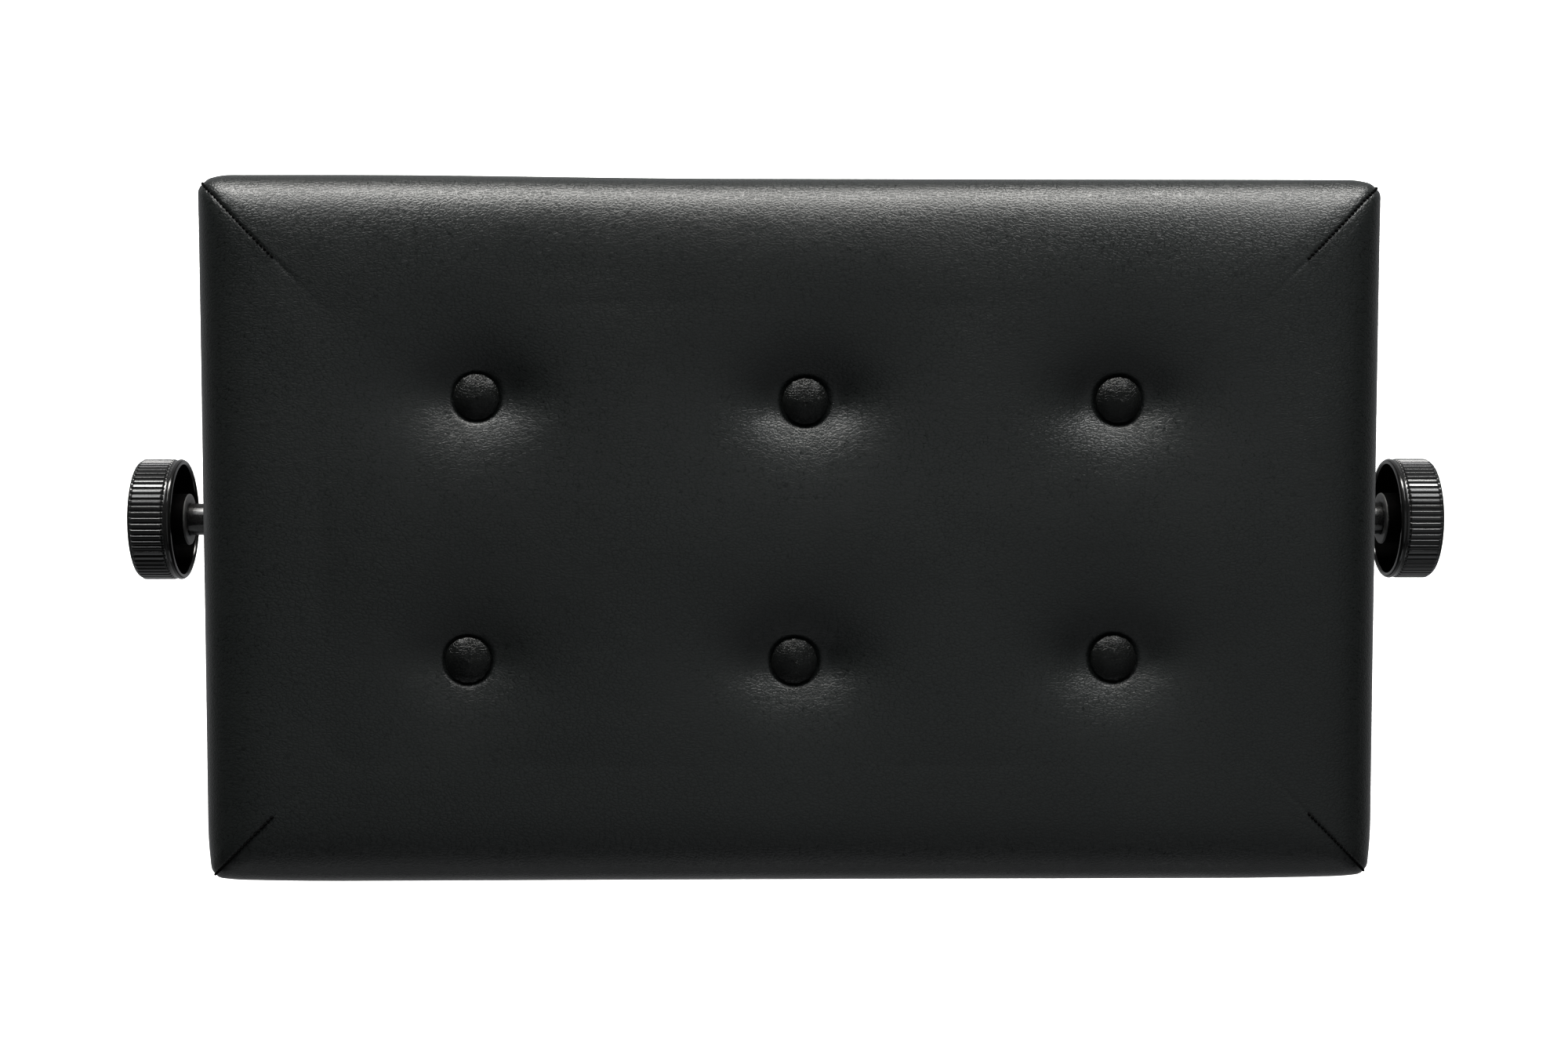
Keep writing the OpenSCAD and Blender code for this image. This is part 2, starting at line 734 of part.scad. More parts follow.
to_front() long_apron();  // apron_front
long_apron();  // apron_back
to_left() short_apron();  // apron_left
short_apron();  // apron_right
to_front() to_left() leg();  // leg_front_left
to_front() leg();  // leg_front_right
to_left() leg();  // leg_back_left
leg();  // leg_back_right
leg_glides();
corner_brackets();
bracket_screws();
hanger_bolts();
hanger_nuts();
to_front() lower_rail();  // lower_rail_front
lower_rail();  // lower_rail_back
lower_pivot_pins();
to_left() cross_bar();  // cross_bar_left
cross_bar();  // cross_bar_right
cross_bar_cleats();
cross_bar_screws();
frame_rivets();
spindle_bushes();
seat_bumpers();
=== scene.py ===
import json
import math

import bpy
import numpy as np
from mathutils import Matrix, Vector


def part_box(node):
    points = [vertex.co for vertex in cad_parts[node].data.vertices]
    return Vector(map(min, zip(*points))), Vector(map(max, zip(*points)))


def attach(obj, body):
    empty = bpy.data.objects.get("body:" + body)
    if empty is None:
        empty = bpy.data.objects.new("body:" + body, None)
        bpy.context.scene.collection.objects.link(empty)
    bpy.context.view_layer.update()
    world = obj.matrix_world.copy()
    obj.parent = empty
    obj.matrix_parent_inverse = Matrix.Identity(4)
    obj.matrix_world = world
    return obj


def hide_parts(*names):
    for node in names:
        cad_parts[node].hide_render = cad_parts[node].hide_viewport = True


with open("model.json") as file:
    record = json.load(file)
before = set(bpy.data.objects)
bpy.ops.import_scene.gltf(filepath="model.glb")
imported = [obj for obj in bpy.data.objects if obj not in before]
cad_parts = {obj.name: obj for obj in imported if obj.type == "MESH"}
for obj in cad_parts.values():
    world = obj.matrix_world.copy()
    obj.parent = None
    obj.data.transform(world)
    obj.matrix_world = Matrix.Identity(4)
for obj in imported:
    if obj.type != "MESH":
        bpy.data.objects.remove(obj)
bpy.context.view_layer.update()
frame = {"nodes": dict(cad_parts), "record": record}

MM = 0.001
TAU = 2 * math.pi


# ---- Mesh helpers ----

def mesh_object(name, verts, faces, material, smooth=True):
    """A new object from arrays of points and of faces."""
    mesh = bpy.data.meshes.new(name)
    mesh.from_pydata([tuple(v) for v in verts], [], [tuple(int(i) for i in f) for f in faces])
    mesh.validate()
    mesh.materials.append(material)
    mesh.shade_smooth() if smooth else mesh.shade_flat()
    obj = bpy.data.objects.new(name, mesh)
    bpy.context.scene.collection.objects.link(obj)
    return obj


def grid_faces(rows, cols, wrap=False, start=0):
    """Quads over rows of equal length, row after row."""
    r = np.arange(rows - 1)[:, None]
    c = np.arange(cols if wrap else cols - 1)[None, :]
    n = (c + 1) % cols
    a, b = r * cols + c, r * cols + n
    return start + np.stack([a, b, b + cols, a + cols], -1).reshape(-1, 4)


def points_of(obj):
    """The object's own points as an array."""
    co = np.zeros(len(obj.data.vertices) * 3)
    obj.data.vertices.foreach_get("co", co)
    return co.reshape(-1, 3)


def normals_of(obj):
    """The normals at the object's points."""
    no = np.zeros(len(obj.data.vertices) * 3)
    obj.data.vertex_normals.foreach_get("vector", no)
    return no.reshape(-1, 3)


def set_points(obj, points):
    obj.data.vertices.foreach_set("co", np.asarray(points, float).ravel())
    obj.data.update()


def apply_modifiers(obj):
    """The object's mesh with its modifiers made real."""
    done = bpy.data.meshes.new_from_object(obj.evaluated_get(bpy.context.evaluated_depsgraph_get()))
    obj.modifiers.clear()
    obj.data = done


def subdivided(obj, levels):
    if levels:
        modifier = obj.modifiers.new("Smooth", "SUBSURF")
        modifier.levels = modifier.render_levels = levels
        apply_modifiers(obj)
    return obj


def smoothstep(low, high, x):
    t = np.clip((np.asarray(x, float) - low) / (high - low), 0, 1)
    return t * t * (3 - 2 * t)


def bell(x, width):
    return np.exp(-(np.asarray(x, float) / width) ** 2)


def joined(name, parts, material):
    """One object from several (points, faces) pairs."""
    verts, faces, count = [], [], 0
    for points, quads in parts:
        verts.append(points)
        faces += [tuple(int(i) + count for i in f) for f in quads]
        count += len(points)
    return mesh_object(name, np.concatenate(verts), faces, material)


def revolved(profile, segments, axis_point, axis="Z", sign=1, start=0.0):
    """Points and faces of an open profile of (radius, height) turned around an axis."""
    a = start + np.arange(segments) * TAU / segments
    r, h = np.asarray(profile, float).T
    ring = np.stack([np.cos(a), np.sin(a)], -1)
    flat = r[:, None, None] * ring[None]
    along = np.broadcast_to(sign * h[:, None], flat.shape[:2])
    if axis == "Z":
        points = np.dstack([flat[..., 0], flat[..., 1], along])
    else:
        points = np.dstack([along, flat[..., 0], flat[..., 1]])
    faces = grid_faces(len(profile), segments, wrap=True)
    if sign < 0:
        faces = faces[:, ::-1]
    return points.reshape(-1, 3) + np.asarray(axis_point, float), faces


# ---- Materials ----

class Nodes:
    """A short way to write a material's nodes."""

    def __init__(self, name, **surface):
        self.material = bpy.data.materials.new(name)
        self.material.use_nodes = True
        self.tree = self.material.node_tree
        self.shader = self.tree.nodes["Principled BSDF"]
        for socket, value in surface.items():
            self.shader.inputs[socket.replace("_", " ")].default_value = value
        self.coords = self.add("ShaderNodeTexCoord").outputs["Object"]

    def add(self, kind, inputs=None, **settings):
        node = self.tree.nodes.new(kind)
        for key, value in settings.items():
            setattr(node, key, value)
        for key, value in (inputs or {}).items():
            if isinstance(value, bpy.types.NodeSocket):
                self.tree.links.new(value, node.inputs[key])
            else:
                node.inputs[key].default_value = value
        return node

    def link(self, output, socket):
        self.tree.links.new(output, self.shader.inputs[socket])

    def scaled(self, vector, factors):
        return self.add("ShaderNodeMapping", {"Vector": vector, "Scale": factors}).outputs["Vector"]

    def noise(self, scale, detail=3.0, rough=0.5, vector=None):
        node = self.add("ShaderNodeTexNoise", {
            "Vector": vector or self.coords, "Scale": scale, "Detail": detail, "Roughness": rough,
        })
        return node.outputs["Fac"]

    def mapped(self, value, low, high, to_low, to_high):
        return self.add("ShaderNodeMapRange", {
            "Value": value, "From Min": low, "From Max": high, "To Min": to_low, "To Max": to_high,
        }).outputs["Result"]

    def maths(self, operation, a, b):
        return self.add("ShaderNodeMath", {0: a, 1: b}, operation=operation).outputs["Value"]

    def mixed(self, factor, a, b):
        node = self.add("ShaderNodeMix", {"Factor": factor}, data_type="RGBA")
        for socket, value in ((node.inputs[6], a), (node.inputs[7], b)):
            if isinstance(value, bpy.types.NodeSocket):
                self.tree.links.new(value, socket)
            else:
                socket.default_value = (*value, 1)
        return node.outputs[2]

    def bump(self, height, distance, strength=1.0, below=None):
        inputs = {"Height": height, "Distance": distance, "Strength": strength}
        if below is not None:
            inputs["Normal"] = below
        return self.add("ShaderNodeBump", inputs).outputs["Normal"]


def leather(name, dark, light, cell, roughness, depth, stretch, gloss, ridged=False):
    """Embossed leatherette: soft pebbles between narrow creases with painted shade; ridged, a stretched net
    of creases.
    """
    m = Nodes(name, IOR=1.46, Specular_IOR_Level=gloss)
    warp = m.add("ShaderNodeTexNoise", {"Vector": m.coords, "Scale": 0.45 / cell, "Detail": 2.5})
    bend = (cell * 1.5,) * 3
    bent = m.add("ShaderNodeVectorMath", {0: warp.outputs["Color"], 1: bend}, operation="MULTIPLY")
    moved = m.add("ShaderNodeVectorMath", {0: m.coords, 1: bent.outputs["Vector"]}, operation="ADD")
    vector = m.scaled(moved.outputs["Vector"], stretch)
    edge = m.add("ShaderNodeTexVoronoi", {"Vector": vector, "Scale": 1 / cell, "Randomness": 1.0},
                 feature="DISTANCE_TO_EDGE").outputs["Distance"]
    pebble = m.add("ShaderNodeMapRange", {"Value": edge, "From Min": 0.0, "From Max": 0.34},
                   interpolation_type="SMOOTHSTEP").outputs["Result"]
    crease = m.mapped(edge, 0.0, 0.075, 1.0, 0.0)
    fine = m.noise(3.0 / cell, 3.0, 0.6, vector)
    if ridged:
        height = m.maths("ADD", m.mapped(edge, 0.0, 0.12, 1.0, 0.0), m.maths("MULTIPLY", fine, 0.3))
    else:
        body = m.maths("SUBTRACT", pebble, m.maths("MULTIPLY", crease, 0.5))
        height = m.maths("ADD", body, m.maths("MULTIPLY", fine, 0.25))
    # On plain leather this darkening towards the cell edges is painted shade in the creases; on ridged
    # leather the same darker colour lies along the raised net.
    crease_shade_colour = m.mixed(crease, light, dark)
    cloudy = m.mapped(m.noise(9.0, 3.0), 0.3, 0.7, 0.0, 0.4)
    m.link(m.mixed(cloudy, crease_shade_colour, dark), "Base Color")
    worn = m.mapped(m.noise(22.0, 4.0), 0.3, 0.7, roughness - 0.02, roughness + 0.04)
    m.link(m.maths("SUBTRACT", worn, m.maths("MULTIPLY", crease, 0.0 if ridged else 0.12)), "Roughness")
    m.link(m.bump(height, depth), "Normal")
    return m.material


def lacquered_wood(axis):
    """Black satin lacquer, with the pores of the wood just showing through along one axis."""
    m = Nodes("lacquered_wood_" + "xyz"[axis], IOR=1.5, Coat_Weight=0.35, Coat_Roughness=0.18)
    along = m.scaled(m.coords, tuple(0.08 if k == axis else 1.0 for k in range(3)))
    grain = m.noise(420.0, 4.0, 0.6, along)
    pores = m.mapped(grain, 0.35, 0.7, 0.0, 1.0)
    m.link(m.mixed(pores, (0.009, 0.009, 0.009), (0.016, 0.016, 0.015)), "Base Color")
    m.link(m.mapped(m.noise(14.0, 3.0), 0.3, 0.7, 0.30, 0.38), "Roughness")
    m.link(m.bump(grain, 0.00005, 0.5), "Normal")
    return m.material


def plain(name, colour, spread, roughness, scale, depth=0.00005, **surface):
    """Moulded or painted surface: a slight colour change, uneven gloss and a fine texture."""
    m = Nodes(name, **surface)
    other = tuple(c * (1 + spread) for c in colour)
    patch = m.noise(scale, 3.0)
    m.link(m.mixed(m.mapped(patch, 0.35, 0.65, 0.0, 1.0), colour, other), "Base Color")
    m.link(m.mapped(m.noise(scale * 2.3, 4.0), 0.3, 0.7, roughness * 0.85, roughness * 1.15), "Roughness")
    m.link(m.bump(m.noise(scale * 9, 3.0), depth, 0.6), "Normal")
    return m.material


def steel(name, colour, roughness, brushed):
    """Plated or bright steel with brushing along X and dull spots."""
    m = Nodes(name, Metallic=1.0)
    lines = m.noise(2600.0, 2.0, 0.5, m.scaled(m.coords, brushed))
    spots = m.noise(260.0, 4.0)
    worn = tuple(c * 0.62 for c in colour)
    m.link(m.mixed(m.mapped(spots, 0.5, 0.72, 0.0, 1.0), colour, worn), "Base Color")
    m.link(m.mapped(m.maths("ADD", lines, spots), 0.7, 1.3, roughness - 0.08, roughness + 0.12), "Roughness")
    m.link(m.bump(lines, 0.00002, 0.5), "Normal")
    return m.material


def plywood():
    """Raw plywood: face grain along X and dark and pale plies on its edge."""
    m = Nodes("plywood", Roughness=0.7)
    grain = m.noise(90.0, 5.0, 0.6, m.scaled(m.coords, (0.06, 1.0, 1.0)))
    plies = m.add("ShaderNodeTexWave", {"Vector": m.coords, "Scale": 110.0, "Distortion": 0.6, "Detail": 2.0},
                  bands_direction="Z").outputs["Fac"]
    face = m.mixed(grain, (0.42, 0.27, 0.14), (0.66, 0.48, 0.28))
    m.link(m.mixed(m.mapped(plies, 0.3, 0.7, 0.0, 0.35), face, (0.30, 0.18, 0.09)), "Base Color")
    m.link(m.bump(grain, 0.0001), "Normal")
    return m.material


def cloth(name, colour, pitch):
    """Non-woven cloth: pressed fibres with a grid of bonded points."""
    m = Nodes(name, Roughness=0.9, Sheen_Weight=0.15)
    fibres = m.noise(1.6 / pitch, 6.0, 0.7)
    grid = m.add("ShaderNodeTexVoronoi", {"Vector": m.coords, "Scale": 1 / pitch, "Randomness": 0.0})
    dots = grid.outputs["Distance"]
    lighter = tuple(c * 1.9 for c in colour)
    m.link(m.mixed(m.mapped(fibres, 0.3, 0.7, 0.0, 1.0), colour, lighter), "Base Color")
    m.link(m.bump(m.maths("ADD", fibres, m.mapped(dots, 0.1, 0.4, 0.0, 1.0)), 0.0001), "Normal")
    return m.material


def foam():
    """Open-cell foam."""
    m = Nodes("foam", Roughness=0.95)
    cells = m.add("ShaderNodeTexVoronoi", {"Vector": m.coords, "Scale": 900.0}).outputs["Distance"]
    m.link(m.mixed(m.mapped(cells, 0.1, 0.6, 0.0, 1.0), (0.45, 0.36, 0.16), (0.80, 0.70, 0.42)), "Base Color")
    m.link(m.bump(cells, 0.0004), "Normal")
    return m.material


def floor_material():
    m = Nodes("studio_floor", Roughness=0.85, Emission_Color=(1, 1, 1, 1), Emission_Strength=0.85)
    m.link(m.mixed(m.noise(3.0, 2.0), (0.90, 0.90, 0.90), (0.93, 0.93, 0.93)), "Base Color")
    return m.material


MATERIALS = {
    "seat_leather": leather(
        "seat_leather", (0.0035, 0.0042, 0.0040), (0.0078, 0.0092, 0.0090),
        cell=1.5 * MM, roughness=0.36, depth=0.048 * MM, stretch=(0.68, 1.0, 1.0), gloss=0.42,
    ),
    "button_leather": leather(
        "button_leather", (0.0020, 0.0023, 0.0022), (0.0045, 0.0050, 0.0048),
        cell=1.3 * MM, roughness=0.25, depth=0.06 * MM, stretch=(0.9, 1.0, 1.0), gloss=0.20, ridged=True,
    ),
    "foam": foam(),
    "plywood": plywood(),
    "dust_cloth": cloth("dust_cloth", (0.012, 0.012, 0.012), 0.0012),
    "twine": cloth("twine", (0.42, 0.38, 0.28), 0.0006),
    "zinc_steel": steel("zinc_steel", (0.56, 0.57, 0.56), 0.34, (1.0, 1.0, 0.05)),
    "coated_steel": plain("coated_steel", (0.016, 0.016, 0.017), 0.4, 0.42, 60.0, 0.00009, IOR=1.5),
    "spindle_steel": steel("spindle_steel", (0.46, 0.46, 0.45), 0.28, (0.02, 1.0, 1.0)),
    "nylon": plain("nylon", (0.66, 0.65, 0.59), 0.08, 0.45, 80.0, Subsurface_Weight=0.15),
    "knob_plastic": plain("knob_plastic", (0.006, 0.006, 0.006), 0.4, 0.17, 90.0, 0.00001, IOR=1.52),
    "sleeve_plastic": plain("sleeve_plastic", (0.006, 0.006, 0.006), 0.3, 0.27, 240.0, 0.00003),
    "grub_steel": plain("grub_steel", (0.02, 0.02, 0.02), 0.5, 0.4, 500.0, Metallic=0.6),
    "lacquered_wood": [lacquered_wood(axis) for axis in range(3)],
    "glide_plastic": plain("glide_plastic", (0.03, 0.03, 0.03), 0.4, 0.55, 150.0),
    "bumper_rubber": plain("bumper_rubber", (0.018, 0.018, 0.018), 0.5, 0.75, 300.0),
}
HUB_METAL = plain("knob_hub", (0.10, 0.10, 0.10), 0.15, 0.5, 700.0, 0.0001, Metallic=0.4)
# Painted shade: the knob's own black plastic made darker and almost unreflecting, standing in for the shade
# inside the cup.
KNOB_INSIDE_PAINTED_SHADE = plain("knob_inside_painted_shade", (0.0006, 0.0006, 0.0006), 0.5, 0.7, 200.0, 0.00003,
                    Specular_IOR_Level=0.04)
THREAD = plain("seam_thread", (0.0012, 0.0012, 0.0012), 0.3, 0.9, 900.0, Specular_IOR_Level=0.03)


# ---- CAD parts that keep their shape: worn edges and finishes ----

EDGE_WIDTH = {"lacquered_wood": 1.2 * MM, "plywood": 0.4 * MM, "coated_steel": 0.35 * MM}


def dress_cad_nodes():
    """Gives each CAD part its material and breaks its sharp edges."""
    slots = {p["node"]: p["material_slot"] for p in frame["record"]["subparts"]}
    for name, obj in frame["nodes"].items():
        slot = slots[name]
        finish = MATERIALS[slot]
        if slot == "lacquered_wood":
            low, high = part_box(name)
            sides = [high[k] - low[k] for k in range(3)]
            finish = finish[2 if name.startswith("leg") else sides.index(max(sides))]
        obj.data.materials.clear()
        obj.data.materials.append(finish)
        weld = obj.modifiers.new("Weld", "WELD")
        weld.merge_threshold = 0.002 * MM
        bevel = obj.modifiers.new("Bevel", "BEVEL")
        bevel.width = EDGE_WIDTH.get(slot, 0.2 * MM)
        bevel.segments = 2
        bevel.limit_method = "ANGLE"
        bevel.angle_limit = math.radians(38)
        bevel.harden_normals = True


# ---- Cushion ----

cover_low, cover_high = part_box("seat_cover")
board_low, board_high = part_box("seat_board")
SWELL = 0.3 * MM
HALF_L = cover_high.x - SWELL
HALF_W = cover_high.y - SWELL
CROWN = cover_high.z - SWELL
BOTTOM = cover_low.z
BOARD_TOP = board_high.z
WIDEST = BOARD_TOP + 36 * MM
ROLL = 56 * MM
TUCK = HALF_L - board_high.x - 1.2 * MM
CORNER_R = 5 * MM
FOLD = 24 * MM
SEAM_LENGTH = 38 * MM
SEAM_FRONT = 36 * MM
COVER_STEP = 4 * MM
FOAM_STEP = 9 * MM
FOAM_GAP = 2.6 * MM
PRESS_FRAMES = 20
PRESS_CAP = 1.5 * MM
LOOSE_HOLD = 0.12
BUTTONS = ["back_left", "back_middle", "back_right", "front_left", "front_middle", "front_right"]
DIMPLE = {"back_left": 6.8, "back_middle": 8.0, "back_right": 7.8,
          "front_left": 4.2, "front_middle": 7.6, "front_right": 7.4}


def profile():
    """The cushion's section from the fold under the board to the flat top: (inset, height) pairs."""
    under = [(TUCK + 2 * MM + FOLD * (1 - t), BOTTOM) for t in np.linspace(0, 1, 6)[:-1]]
    turn = [(TUCK + 2 * MM * (1 - math.sin(a)), BOTTOM + 2 * MM * (1 - math.cos(a)))
            for a in np.radians([0, 30, 60, 90])]
    side = []
    for t in np.linspace(0, 1, 14)[1:]:
        height = BOTTOM + 2 * MM + (WIDEST - BOTTOM - 2 * MM) * t
        side.append((TUCK * (1 - math.sin(smoothstep(0.12, 1.0, t) * math.pi / 2) ** 1.1), height))
    roll = [(ROLL * (1 - math.cos(a) ** 0.8), WIDEST)
            for a in np.radians(np.concatenate([np.linspace(0, 80, 24)[1:], np.linspace(82, 90, 5)]))]
    return under + turn + side + [(float(i), float(z)) for i, z in roll]


def roll_width(x, y):
    """How far in from the edge the top has become flat: tighter on the left, softer at the back right."""
    back = 36 * MM + 32 * MM * smoothstep(-HALF_L * 0.6, HALF_L, x)
    gaps = [HALF_W - y, HALF_W + y, HALF_L + x, HALF_L - x]
    weights = [1 / (np.maximum(gap, 0) + 6 * MM) ** 2 for gap in gaps]
    widths = [back, 40 * MM, 36 * MM, 44 * MM]
    return sum(w * r for w, r in zip(weights, widths)) / sum(weights)


def roll_height(inset, x, y):
    """Height of the top at a distance in from the edge."""
    share = np.clip(1 - inset / roll_width(x, y), 0, 1)
    return WIDEST + (CROWN - WIDEST) * np.sqrt(1 - share ** 2.5) ** 0.8


def side_distances(half, step):
    """Distances from a corner to the middle of a side: close together at the corner."""
    out, gap = [0.0], 0.7 * MM
    while out[-1] + gap < half - step / 2:
        out.append(out[-1] + gap)
        gap = min(step, gap * 1.16)
    return np.array(out + [half])


def ring_points(inset, near_x, near_y):
    """One level of the cushion in plan, from the back right corner round by the left."""
    keep = 30 * MM
    hx, hy = HALF_L - inset, HALF_W - inset
    radius = CORNER_R + inset * 0.35

    def spread(distances, half):
        full = distances[-1]
        beyond = keep + (distances - keep) * (half - keep) / (full - keep)
        return np.where(distances < keep, distances, beyond)

    def eighth(distances, half):
        """(distance along the side from its corner, drop from the side's line) for half a side."""
        d = spread(distances, half)
        turned = np.clip(1 - d / radius, 0, 1) * math.pi / 4
        along = np.where(d < radius, radius * (1 - np.sin(turned)), d)
        drop = radius * (1 - np.cos(turned))
        return along, drop

    ax, dx = eighth(near_x, hx)
    ay, dy = eighth(near_y, hy)
    top = np.concatenate([np.stack([hx - ax, hy - dx], -1), np.stack([-(hx - ax), hy - dx], -1)[::-1][1:]])
    left = np.concatenate([np.stack([-hx + dy, hy - ay], -1), np.stack([-hx + dy, -(hy - ay)], -1)[::-1][1:]])
    around = np.concatenate([top[:-1], left[:-1], -top[:-1], -left[:-1]])
    return around, top, left


def cushion_grid(step):
    """Points and quads of the cover's outside: rings round the sides, then a patch over the top."""
    near_x, near_y = side_distances(HALF_L, step), side_distances(HALF_W, step)
    section = profile()
    rings = [ring_points(inset, near_x, near_y)[0] for inset, _ in section]
    count = len(rings[0])
    points = [np.column_stack([ring, np.full(count, z)]) for ring, (_, z) in zip(rings, section)]
    faces = [tuple(f) for f in grid_faces(len(section), count, wrap=True)]
    _, top, left = ring_points(section[-1][0], near_x, near_y)
    nx, ny = len(top) - 1, len(left) - 1
    u = np.linspace(0, 1, nx + 1)[None, :, None]
    v = np.linspace(0, 1, ny + 1)[:, None, None]
    right = -left[::-1]
    upper, lower, lefts, rights = top[None], -top[::-1][None], left[:, None], right[:, None]
    ends = ((1 - u) * (1 - v) * top[0] + u * (1 - v) * top[-1]
            + (1 - u) * v * lower[0, 0] + u * v * lower[0, -1])
    sides = (1 - v) * upper + v * lower + (1 - u) * rights + u * lefts
    patch = sides - ends
    base = (len(section) - 1) * count
    index = np.zeros((ny + 1, nx + 1), int)
    inner = patch[1:-1, 1:-1].reshape(-1, 2)
    index[1:-1, 1:-1] = len(section) * count + np.arange(len(inner)).reshape(ny - 1, nx - 1)
    index[0] = base + np.arange(nx + 1)
    index[:, -1] = base + nx + np.arange(ny + 1)
    index[-1] = base + nx + ny + nx - np.arange(nx + 1)
    index[:, 0] = base + (2 * nx + 2 * ny - np.arange(ny + 1)) % count
    points.append(np.column_stack([inner, np.full(len(inner), WIDEST)]))
    faces += [tuple(f) for f in np.stack([index[:-1, :-1], index[:-1, 1:], index[1:, 1:], index[1:, :-1]],
                                         -1).reshape(-1, 4)]
    points = np.concatenate(points)
    insets = np.concatenate([np.full(count, inset) for inset, _ in section] + [np.full(len(inner), ROLL)])
    top_rows = np.concatenate([np.full(count, z >= WIDEST) for _, z in section] + [np.full(len(inner), True)])
    raised = roll_height(insets, points[:, 0], points[:, 1])
    points[:, 2] = np.where(top_rows, raised, points[:, 2])
    return points, faces


def button_centre(name):
    low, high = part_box("button_" + name)
    return (low.x + high.x) / 2, (low.y + high.y) / 2, low.z, (high.x - low.x) / 2


def dimple_drop(x, y):
    """How far the buttons pull the top down: a funnel stretched along X, with a soft valley on each side."""
    drop = np.zeros_like(x)
    for name in BUTTONS:
        bx, by, _, radius = button_centre(name)
        depth = DIMPLE[name] * MM
        dx, dy = x - bx, y - by
        near = np.hypot(dx, dy)
        beyond = np.maximum(np.hypot(dx / 1.35, dy) - radius, 0)
        funnel = depth * np.exp(-(beyond / (14.5 * MM)) ** 1.25)
        reach = np.abs(dx)
        valley = 0.24 * depth * np.exp(-(reach / (36 * MM)) ** 2.2) * bell(dy, 8 * MM + 0.22 * reach)
        valley *= smoothstep(radius * 0.6, radius * 1.5, reach)
        away = 0.09 * depth * bell(np.hypot(dx / 1.5, dy), 48 * MM)
        crevice = 3.2 * MM * (1 - smoothstep(radius - 0.4 * MM, radius + 1.8 * MM, near))
        drop = np.maximum(drop, funnel + valley + away + crevice)
    return drop


def gather_rows(points):
    """Moves the top's points towards the buttons' edges, where the cover dives under."""
    x, y = points[:, 0], points[:, 1]
    for name in BUTTONS:
        bx, by, _, radius = button_centre(name)
        dx, dy = x - bx, y - by
        near = np.hypot(dx, dy)
        rings = [0, 5 * MM, 10.5 * MM, 18 * MM]
        gathered = [0, radius - 0.5 * MM, radius + 1.9 * MM, rings[-1]]
        moved = np.interp(near, rings, gathered)
        share = np.where(near < rings[-1], moved / np.maximum(near, 1e-6), 1.0)
        x, y = bx + dx * share, by + dy * share
    points[:, 0], points[:, 1] = x, y


def draw_in_corners(points):
    """Pulls the sides in where the corner seams tighten them, and lets the back left stand out a little."""
    x, y = points[:, 0], points[:, 1]
    from_end = HALF_L - np.abs(x)
    outer = np.clip(np.abs(y) / HALF_W, 0, 1) ** 5
    back = 3.4 * np.clip(1 - from_end / (14 * MM), 0, 1) ** 2
    tight = np.clip(1 - from_end / (17 * MM), 0, 1) ** 2
    loose = np.clip(1 - from_end / (70 * MM), 0, 1) ** 2
    front = 1.3 * tight + 1.3 * loose
    bulge = 1.5 * smoothstep(0.1, 0.75, -x / HALF_L)
    points[:, 1] = y - np.where(y > 0, back - bulge, -front) * MM * outer
    from_side = HALF_W - np.abs(y)
    back = 1.5 * np.clip(1 - from_side / (9 * MM), 0, 1) ** 2
    front = 2.4 * np.clip(1 - from_side / (30 * MM), 0, 1) ** 2
    ends = np.clip(np.abs(x) / HALF_L, 0, 1) ** 9
    points[:, 0] = x - np.sign(x) * np.where(y > 0, back, front) * MM * ends


def crown_rise(x, y):
    """The slight crown of the flat top, and its soft unevenness."""
    over_length = np.clip(1 - (x / (HALF_L - 30 * MM)) ** 2, 0, 1)
    over_width = np.clip(1 - (y / (HALF_W - 25 * MM)) ** 2, 0, 1)
    rise = 1.7 * MM * over_length * over_width
    waves = 0.25 * MM * (np.sin(x * 31 + 1.3) * np.cos(y * 43 + 0.6) + 0.6 * np.sin(x * 67 - y * 52))
    return rise + waves * smoothstep(0, 30 * MM, np.minimum(HALF_L - np.abs(x), HALF_W - np.abs(y)))


def seam_place(points):
    """For points near a corner: distance across the seam's plane, and along the seam from its inner end."""
    x, y = np.abs(points[:, 0]), np.abs(points[:, 1])
    across = (x - y - (HALF_L - HALF_W)) / math.sqrt(2)
    inset = np.minimum(HALF_L - x, HALF_W - y)
    down = np.maximum(WIDEST - points[:, 2], 0)
    length = np.where(points[:, 1] > 0, SEAM_LENGTH, SEAM_FRONT)
    along = np.where(down > 0, length + down, length - inset)
    near_corner = (HALF_L - x) < 60 * MM
    return across, along, down, near_corner


def sew_corners(points, normals):
    """Sinks the corner seams into the cover, with raised, puckered leather on both sides."""
    across, along, down, near_corner = seam_place(points)
    live = smoothstep(-1.0 * MM, 4 * MM, along) * near_corner
    top = 1 - 0.55 * smoothstep(0, 6 * MM, down)
    tail = bell(along + 5 * MM, 5 * MM) * near_corner * (down <= 0)
    side = np.sign(across)
    pucker = np.sin(along / (4.6 * MM) * TAU + side * 0.9) * np.exp(-np.abs(across) / (2.6 * MM))
    change = (
        -0.32 * MM * bell(across, 0.8 * MM) * live * top
        + 0.06 * MM * bell(np.abs(across) - 2.2 * MM, 1.6 * MM) * live * top
        + 0.12 * MM * pucker * live * top * smoothstep(0.3 * MM, 1.2 * MM, np.abs(across))
        - 0.22 * MM * bell(across, 1.1 * MM) * tail
    )
    return points + normals * change[:, None]


